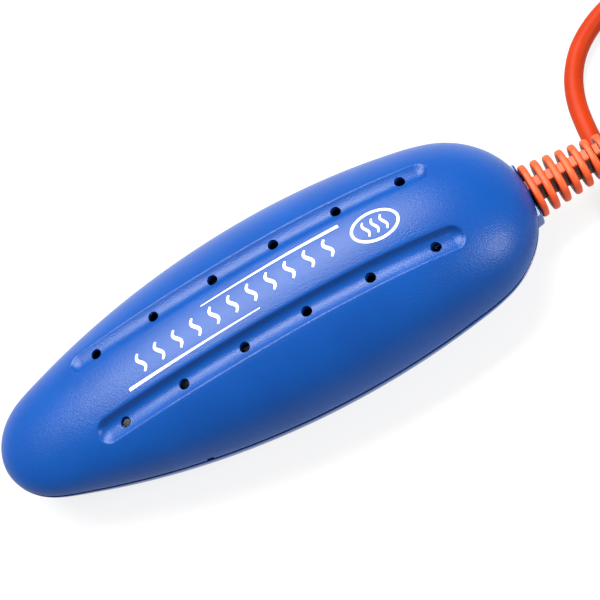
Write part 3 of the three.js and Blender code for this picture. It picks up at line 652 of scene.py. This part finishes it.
def lower_shell(material):
    """The bottom: a shell with a tongue round its rim, screw pillars, heater ribs and the lead's collar."""
    level = PART_GAP / 2 + LIP
    tongue = PART_Z + LAP_RISE
    tongue_in = LAP_OUT + CLEAR
    grid = half_body(-1, 0, level)
    loops = [*lip_loops(LOWER_RIM, -1), plan_loop(tongue_in, LOWER_RIM), plan_loop(tongue_in, tongue)]
    body = new_piece("lower_housing", *closed_body(grid, loops), material)
    inner = half_body(-1, WALL, level, 12, 6)
    loops = [plan_loop(WALL, PART_Z), plan_loop(WALL, tongue + 1)]
    cavity = new_piece("cavity", *closed_body(inner, loops), None)
    pillar = [(PILLAR_RADIUS, -1), (PILLAR_RADIUS, LOWER_RIM)]
    pillar += [(POST_RADIUS, LOWER_RIM), (POST_RADIUS, tongue)]
    fillers = [lathe(pillar, (x, y, 0)) for x, y in BOSSES]
    fillers += [box(x - 1, x + 1, -11, 11, 0, HEATER_RIB_TOP) for x in HEATER_RIBS]
    fillers.append(box(CLAMP_X - 4, CLAMP_X + 4, -10.5, 10.5, 0, CLAMP_TOP))
    combine(cavity, fillers, "DIFFERENCE")
    boolean(body, cavity, "DIFFERENCE")
    tongue_gap = box(60, 90, -10, 10, LOWER_RIM, 40)
    combine(body, [tongue_gap], "DIFFERENCE")
    combine(body, [collar()], "UNION")
    screw_bore = [(COUNTERBORE_RADIUS, -1), (COUNTERBORE_RADIUS, COUNTERBORE_TOP)]
    screw_bore += [(PILOT_RADIUS, COUNTERBORE_TOP), (PILOT_RADIUS, COUNTERBORE_TOP + 8)]
    bores = [lathe(screw_bore, (x, y, 0)) for x, y in BOSSES]
    clamp_bore = [(PILOT_RADIUS, 3), (PILOT_RADIUS, 14)]
    bores += [lathe(clamp_bore, (CLAMP_X, side * CLAMP_SCREW_Y, 0)) for side in (-1, 1)]
    bores.append(lathe([(LEAD_BORE, 50), (LEAD_BORE, 68.6)], (0, 0, LEAD_Z), "X"))
    combine(body, [*vent_cutters(-1, 8), *bores], "DIFFERENCE")
    neck_slot = prism_x(NECK_SLOT, 30, SLOT_CORNER, LEAD_Z + 10, 66, 86)
    flange_slot = prism_x(FLANGE_SLOT, 30, SLOT_CORNER, LEAD_Z + 9, 69, 73)
    combine(body, [neck_slot], "DIFFERENCE")
    combine(body, [flange_slot], "DIFFERENCE")
    reach_tip(body)
    shade(body, 30)
    return finish_piece(body, "housing", "lower_shell")


# ---- strain relief --------------------------------------------------------
RIB_COUNT, RIB_FIRST, RIB_PITCH, RIB_THICKNESS = 10, 81.2, 3.6, 2.1
RIB_WIDTH, RIB_HEIGHT, RIB_EDGE = 16, 11.2, 0.8
RIB_NARROWS, RIB_LOWERS = 0.78, 0.36  # from each rib to the next


def strain_relief(material):
    """One skin: flange in the housing, neck, ribs on a flat-topped core, sleeve and the bore for the lead."""
    core = (3.4, 9.2, 0.5)
    flange, flange_edge, neck = (14.2, 11, 2.2), (13.4, 10.2, 2), (8.8, 9.4, 2)
    sections = [(69.4, *flange_edge), (69.8, *flange), (72.2, *flange), (72.6, *flange_edge)]
    sections += [(72.6, *neck), (78.2, *neck), (78.4, *core)]
    for i in range(RIB_COUNT):
        x = RIB_FIRST + i * RIB_PITCH
        width, height = RIB_WIDTH - RIB_NARROWS * i, RIB_HEIGHT - RIB_LOWERS * i
        sections.append((x - RIB_THICKNESS / 2, *core))
        for degrees in (-90, -55, -25, 0, 25, 55, 90):
            turn = math.radians(degrees)
            back = RIB_EDGE * (1 - math.cos(turn))
            side = (degrees > 0) - (degrees < 0)
            along = side * (RIB_THICKNESS / 2 - RIB_EDGE) + RIB_EDGE * math.sin(turn)
            w, h = width - 2 * back, height - 2 * back
            sections.append((x + along, w, h, h / 2 - 0.3))
        sections.append((x + RIB_THICKNESS / 2, *core))
    sleeve = [(114.9, 4.4), (116.6, 4.2), (118, 3.85), (118.7, 3.6), (119, 3.3), (119, 2.85), (116.9, 2.8)]
    sections += [(x, 2 * radius, 2 * radius, radius - 0.01) for x, radius in sleeve]
    rings = [[(x, y, LEAD_Z + z) for y, z in rounded_outline(w, h, r)] for x, w, h, r in sections]
    piece = new_piece("strain_relief_ribbed", *loft(rings), material, 50)
    return finish_piece(piece, "cord", "strain_relief")


# ---- screws ---------------------------------------------------------------
def screw_profile():
    """Pan head, plain neck, ten threads and a point, as (radius, height) from the head's face up."""
    profile = [(1.9, 0), (2.3, 0.08), (2.65, 0.35), (2.8, 0.75), (2.8, 2), (1.4, 2)]
    for turn in range(10):
        z = 2.3 + turn * 1.1
        profile += [(1.4, z), (1.1, z + 0.35), (1.1, z + 0.7)]
    return [*profile, (1.1, 13.2), (0.3, 13.6)]


def housing_screws(material):
    """Pan heads with a cross recess, deep in their counterbores."""
    head = 8.7  # level of the head's face
    cross_reach, cross_half = 1.7, 0.36
    profile = [(radius, head + height) for radius, height in screw_profile()]
    for i, (x, y) in enumerate(BOSSES, 1):
        screw = new_piece(f"housing_screw_{i}_fine", *lathe(profile, (x, y, 0), sides=24), material)
        for w, d in ((cross_reach, cross_half), (cross_half, cross_reach)):
            corners = [(-w, -d), (w, -d), (w, d), (-w, d)]
            mouth = [(x + u, y + v, head - 0.2) for u, v in corners]
            depth = [(x + 0.55 * u, y + 0.55 * v, head + 1.3) for u, v in corners]
            combine(screw, [loft([mouth, depth])], "DIFFERENCE")
        shade(screw, 30)
        finish_piece(screw, "screws", f"housing_screw_{i}")


# ---- plug, pins and tie ---------------------------------------------------
PIN_SPACING, PIN_LENGTH, SLEEVE_LENGTH = 19, 19, 9.3
PLUG_HALF, PLUG_WAIST = 17, 9.2
RIDGE_DEPTH, RIDGE_PITCH = 0.45, 2.5


def plug(material):
    """Flat two-pin plug: a waisted grip with side ridges, then a short ribbed cord guard."""
    rings = []

    def add(x, half, thick, radius):
        radius = min(radius, half - 0.1, thick / 2 - 0.1)
        outline = rounded_outline(2 * half, thick, radius)
        rings.append([(PLUG_FACE + x, PLUG_Y + y, PLUG_Z + z) for y, z in outline])

    add(0, 15.6, 11.6, 3.4)
    add(0.15, 16.4, 12.6, 4)
    add(0.6, 16.9, 13.2, 4.6)
    add(1.3, PLUG_HALF, PLUG_THICKNESS, 5)
    for x in range(2, 19):
        half = PLUG_HALF - PLUG_WAIST * (max(0, x - 5) / 19) ** 1.7
        if 5 < x < 17:
            half -= RIDGE_DEPTH * (1 - math.cos(2 * math.pi * (x - 5) / RIDGE_PITCH)) / 2
        add(x, half, PLUG_THICKNESS - 0.09 * x, 5)
    for x, half, thick in [(20, 10, 11.4), (22, 8.4, 11), (23.4, 7.2, 10.2), (24, 6, 9)]:
        add(x, half, thick, 5)
    for i in range(3):
        x = 24.6 + i * 2.8
        size = 5 - 0.45 * i
        for dx, r in [(0, 3.7), (0.1, size - 0.25), (0.4, size), (1.2, size), (1.5, size - 0.25), (1.6, 3.7)]:
            add(x + dx, r, 2 * r, r)
    for x, r in [(32.4, 3.7), (33.3, 3.6), (34, 3.3), (34, 2.85), (31.7, 2.8)]:
        add(x, r, 2 * r, r)
    piece = new_piece("plug_grip", *loft(rings), material, 40)
    return finish_piece(piece, "plug", "plug_body")


def pins(metal_material, sleeve_material):
    """Two round pins, bare at the tip and sleeved up to the plug's face."""
    made = []
    face = PLUG_FACE - 0.3
    tip, sleeve_end = face - PIN_LENGTH, face - SLEEVE_LENGTH
    nose = [(0.05, 0), (0.7, 0.06), (1.2, 0.3), (1.6, 0.7), (1.88, 1.3), (2, 2.1)]
    pin_profile = [(radius, tip + x) for radius, x in nose]
    pin_profile += [(2, sleeve_end - 0.3), (1.4, sleeve_end - 0.3), (1.4, face)]
    outer = [(1.85, sleeve_end), (1.95, sleeve_end + 0.2), (1.95, face)]
    sleeve_profile = [*outer, (1.7, face), (1.7, sleeve_end), outer[0]]
    for i, side in enumerate((-1, 1), 1):
        at = (0, PLUG_Y + side * PIN_SPACING / 2, PLUG_Z)
        pin = new_piece(f"plug_pin_{i}_fine", *lathe(pin_profile, at, "X"), metal_material)
        made.append(finish_piece(pin, "pins", f"plug_pin_{i}"))
        tube = lathe(sleeve_profile, at, "X", caps=False)
        sleeve = new_piece(f"pin_sleeve_{i}_fine", *tube, sleeve_material)
        made.append(finish_piece(sleeve, "pin_sleeve", f"pin_sleeve_{i}"))
    return made


def tie(material):
    """Strap round the coil's section, with softened edges."""
    inner = COIL_INNER - CORD_DIAMETER / 2 - 0.9
    outer = COIL_OUTER + CORD_DIAMETER / 2 + 0.3
    middle, centre_z = (inner + outer) / 2, COIL_BASE + CORD_DIAMETER
    width, height = outer - inner, 2 * CORD_DIAMETER + 0.6
    strap_width, thickness = 8, 0.8
    outside = [(share, thickness - edge, 2.6)
               for share, edge in [(0, 0.25), (0.04, 0.06), (0.12, 0), (0.88, 0), (0.96, 0.06), (1, 0.25)]]
    inside = [(share, edge, 2) for share, edge in [(1, 0.25), (0.96, 0.06), (0.04, 0.06), (0, 0.25)]]
    rings = []
    for share, grow, radius in outside + inside:
        outline = rounded_outline(width + 2 * grow, height + 2 * grow, radius, 10)
        rings.append([(strap_width * (share - 0.5), middle + y, centre_z + z) for y, z in outline])
    vertices, faces = loft([*rings, rings[0]], caps=False)
    turn = Matrix.Rotation(-math.pi / 3, 3, "Z")
    placed = [tuple(turn @ Vector(v) + Vector((*COIL_CENTRE, 0))) for v in vertices]
    piece = new_piece("coil_strap", placed, faces, material, 40)
    return finish_piece(piece, "tie", "coil_tie")


# ---- printed marks --------------------------------------------------------
INK_LIFT, INK_SINK = 0.04, 0.08


def crown_point(x, y, lift):
    """The point over (x, y) that is `lift` above the crown between the channels."""
    w, h = float(half_width(x)), float(crown_height(x))
    return (x, y, PART_Z + h * math.sqrt(1 - (y / w) ** 2) + lift)


def ribbon(path, widths, closed=False):
    """A thin closed strip of ink along a path of (x, y) on the crown."""
    count = len(path)
    left, right = [], []
    for i, (x, y) in enumerate(path):
        before = path[(i - 1) % count] if closed or i else path[i]
        after = path[(i + 1) % count] if closed or i < count - 1 else path[i]
        dx, dy = after[0] - before[0], after[1] - before[1]
        run = math.hypot(dx, dy)
        half = widths[i] / 2
        left.append((x - dy / run * half, y + dx / run * half))
        right.append((x + dy / run * half, y - dx / run * half))
    vertices = []
    for side in (left, right):
        for lift in (INK_LIFT, -INK_SINK):
            vertices += [crown_point(x, y, lift) for x, y in side]
    top_l, low_l, top_r, low_r = (range(k * count, (k + 1) * count) for k in range(4))
    faces = []
    for i in range(count if closed else count - 1):
        j = (i + 1) % count
        faces.append((top_l[i], top_l[j], top_r[j], top_r[i]))
        faces.append((low_l[i], low_r[i], low_r[j], low_l[j]))
        faces.append((top_l[i], low_l[i], low_l[j], top_l[j]))
        faces.append((top_r[i], top_r[j], low_r[j], low_r[i]))
    if not closed:
        faces.append((top_l[0], top_r[0], low_r[0], low_l[0]))
        faces.append((top_l[-1], low_l[-1], low_r[-1], top_r[-1]))
    return vertices, faces


def wave(x, y, height, swing, width):
    """One rising heat wave, fuller in the middle."""
    shares = [i / 20 for i in range(21)]
    path = [(x + swing * math.sin(2 * math.pi * share), y + height * (share - 0.5)) for share in shares]
    return ribbon(path, [width * (0.55 + 0.45 * math.sin(math.pi * share)) for share in shares])


def stripe(x0, y0, x1, y1, thin, thick):
    """A straight stripe that widens from `thin` to `thick`."""
    shares = [i / 40 for i in range(41)]
    path = [(x0 + (x1 - x0) * share, y0 + (y1 - y0) * share) for share in shares]
    return ribbon(path, [thin + (thick - thin) * share for share in shares])


def printed_marks(material):
    """A ring with three rising heat waves, a row of waves and two tapered stripes."""
    ring_x, ring_y, ring_sides, line = 38.6, 0.5, 72, 0.75
    turn = [2 * math.pi * i / ring_sides for i in range(ring_sides)]
    ring = [(ring_x + 6.5 * math.cos(a), ring_y + 4.2 * math.sin(a)) for a in turn]
    solids = [ribbon(ring, [line] * ring_sides, closed=True)]
    solids += [wave(ring_x + dx, ring_y, 4.6, 0.5, line) for dx in (-2.6, 0, 2.6)]
    solids += [wave(-33 + i * 5.8, -0.4 + 0.12 * i, 5.6, 0.8, 1) for i in range(11)]
    solids.append(stripe(-39, -5.4, 2, -4.9, 0.9, 0.25))
    solids.append(stripe(30, 5.4, -12, 4.6, 0.9, 0.25))
    piece = new_piece("printed_marks", *together(solids), material)
    return finish_piece(piece, "housing")


# ---- build ----------------------------------------------------------------
make_camera()

# Both blues paint shade into their vents, channels and other narrow hollows, darkening them to near-black
# blue.
blue = moulded("blue_plastic", (0.0005, 0.047, 0.235), (0.0005, 0.055, 0.265), 0.32, 0.42, 0.08, 45,
               recess=((0.0003, 0.005, 0.02), 2.6), Specular_IOR_Level=0.25)
blue_gloss = moulded("blue_plastic_smooth", (0.001, 0.050, 0.25), (0.001, 0.058, 0.28), 0.24, 0.4, 0.015, 45,
                     recess=((0.0005, 0.006, 0.025), 2.2))
orange = moulded("orange_rubber", (0.33, 0.021, 0.0002), (0.38, 0.027, 0.0004), 0.5, 0.6, 0.006, 90,
                 Specular_IOR_Level=0.12)
# Painted shade: the gaps between the strain relief's ribs are darkened to a dark maroon.
relief_orange = moulded("orange_relief", (0.60, 0.066, 0.012), (0.67, 0.082, 0.018), 0.48, 0.5, 0.008, 90,
                        recess=((0.09, 0.003, 0.001), 3), Specular_IOR_Level=0.3)
plug_orange = moulded("orange_moulding", (0.50, 0.045, 0.004), (0.57, 0.056, 0.006), 0.45, 0.35, 0.012, 90)
ink = moulded("white_ink", (0.82, 0.83, 0.84), (0.92, 0.92, 0.92), 0.5, 0.3, 0.01, 300)
black_strap = moulded("black_strap", (0.012, 0.012, 0.013), (0.03, 0.03, 0.032), 0.75, 0.7, 0.12, 200)
black_sleeve = moulded("black_sleeve", (0.012, 0.012, 0.013), (0.022, 0.022, 0.023), 0.4, 0.3, 0.004, 150)
nylon = moulded("natural_nylon", (0.70, 0.67, 0.58), (0.80, 0.77, 0.68), 0.5, 0.5, 0.01, 120)
film = moulded("amber_film", (0.48, 0.22, 0.03), (0.60, 0.30, 0.06), 0.35, 1.5, 0.01, 80)
ceramic = moulded("dark_ceramic", (0.07, 0.065, 0.06), (0.13, 0.12, 0.11), 0.7, 0.25, 0.02, 200)
wire_blue = moulded("blue_wire", (0.02, 0.10, 0.40), (0.03, 0.13, 0.50), 0.4, 0.5, 0.004, 200)
wire_brown = moulded("brown_wire", (0.09, 0.035, 0.015), (0.14, 0.06, 0.025), 0.4, 0.5, 0.004, 200)
zinc = metal("zinc_steel", (0.48, 0.49, 0.52), (0.66, 0.67, 0.70), 0.32, (1, 1, 0.2))
spring = metal("spring_steel", (0.40, 0.40, 0.42), (0.56, 0.56, 0.58), 0.3, (0.1, 1, 1))
aluminium = metal("extruded_aluminium", (0.66, 0.67, 0.69), (0.80, 0.81, 0.83), 0.36, (0.04, 1, 1))
brass = metal("brass_strip", (0.62, 0.42, 0.17), (0.80, 0.58, 0.28), 0.3, (0.08, 1, 1))
nickel = metal("nickel_plate", (0.66, 0.64, 0.58), (0.80, 0.77, 0.70), 0.2, (0.2, 1, 1), 0.001)

cord = make_cord(orange)
cord_parts = [strain_relief(relief_orange), plug(plug_orange), *pins(nickel, black_sleeve), tie(black_strap)]
upper_shell(blue)
lower_shell(blue_gloss)
printed_marks(ink)
housing_screws(zinc)

CARRIED = {
    "clamp_screw": zinc, "heat_spreader": aluminium, "insulation": film, "electrode": brass,
    "ptc_chip": ceramic, "spring_clip": spring, "lead_inner": orange, "crimp": brass,
    "wire_neutral": wire_blue, "wire_live": wire_brown, "thermal_fuse": nylon, "cord_clamp": nylon,
}
for name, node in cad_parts.items():
    for start, material in CARRIED.items():
        if name.startswith(start):
            node.data.materials.clear()
            node.data.materials.append(material)


# ---- floor and light ------------------------------------------------------
def make_floor():
    """A table that glows a little, so it reads as white with only a faint shadow."""
    reach = 4
    corners = [(-reach, -reach, 0), (reach, -reach, 0), (reach, reach, 0), (-reach, reach, 0)]
    mesh = bpy.data.meshes.new("floor")
    mesh.from_pydata(corners, [], [(0, 1, 2, 3)])
    floor = bpy.data.objects.new("floor", mesh)
    floor.location.z = -0.0002
    bpy.context.scene.collection.objects.link(floor)
    material, nodes, _ = new_material("floor_white")
    shader = nodes["Principled BSDF"]
    shader.inputs["Base Color"].default_value = (0.16, 0.16, 0.16, 1)
    shader.inputs["Roughness"].default_value = 0.9
    shader.inputs["Specular IOR Level"].default_value = 0.2
    shader.inputs["Emission Color"].default_value = (1, 1, 1, 1)
    shader.inputs["Emission Strength"].default_value = 0.82
    mesh.materials.append(material)


def softbox(name, at, aim, size, power):
    """A rectangular area light, its long side level."""
    light = bpy.data.lights.new(name, "AREA")
    light.shape = "RECTANGLE"
    light.size, light.size_y = size
    light.energy = power
    lamp = bpy.data.objects.new(name, light)
    lamp.location = at
    lamp.rotation_euler = (Vector(aim) - Vector(at)).to_track_quat("-Z", "Y").to_euler()
    bpy.context.scene.collection.objects.link(lamp)


def make_world(strength):
    world = bpy.data.worlds.new("studio")
    world.use_nodes = True
    background = world.node_tree.nodes["Background"]
    background.inputs["Color"].default_value = (1, 1, 1, 1)
    background.inputs["Strength"].default_value = strength
    bpy.context.scene.world = world


make_floor()
make_world(0.4)
softbox("back_softbox", (-0.09, 0.47, 0.92), (0, 0, 0.02), (1.1, 0.4), 27)
softbox("rear_softbox", (0.68, -0.34, 0.45), (0.06, 0, 0.02), (0.2, 0.2), 4)
bpy.context.scene.view_settings.view_transform = "Standard"
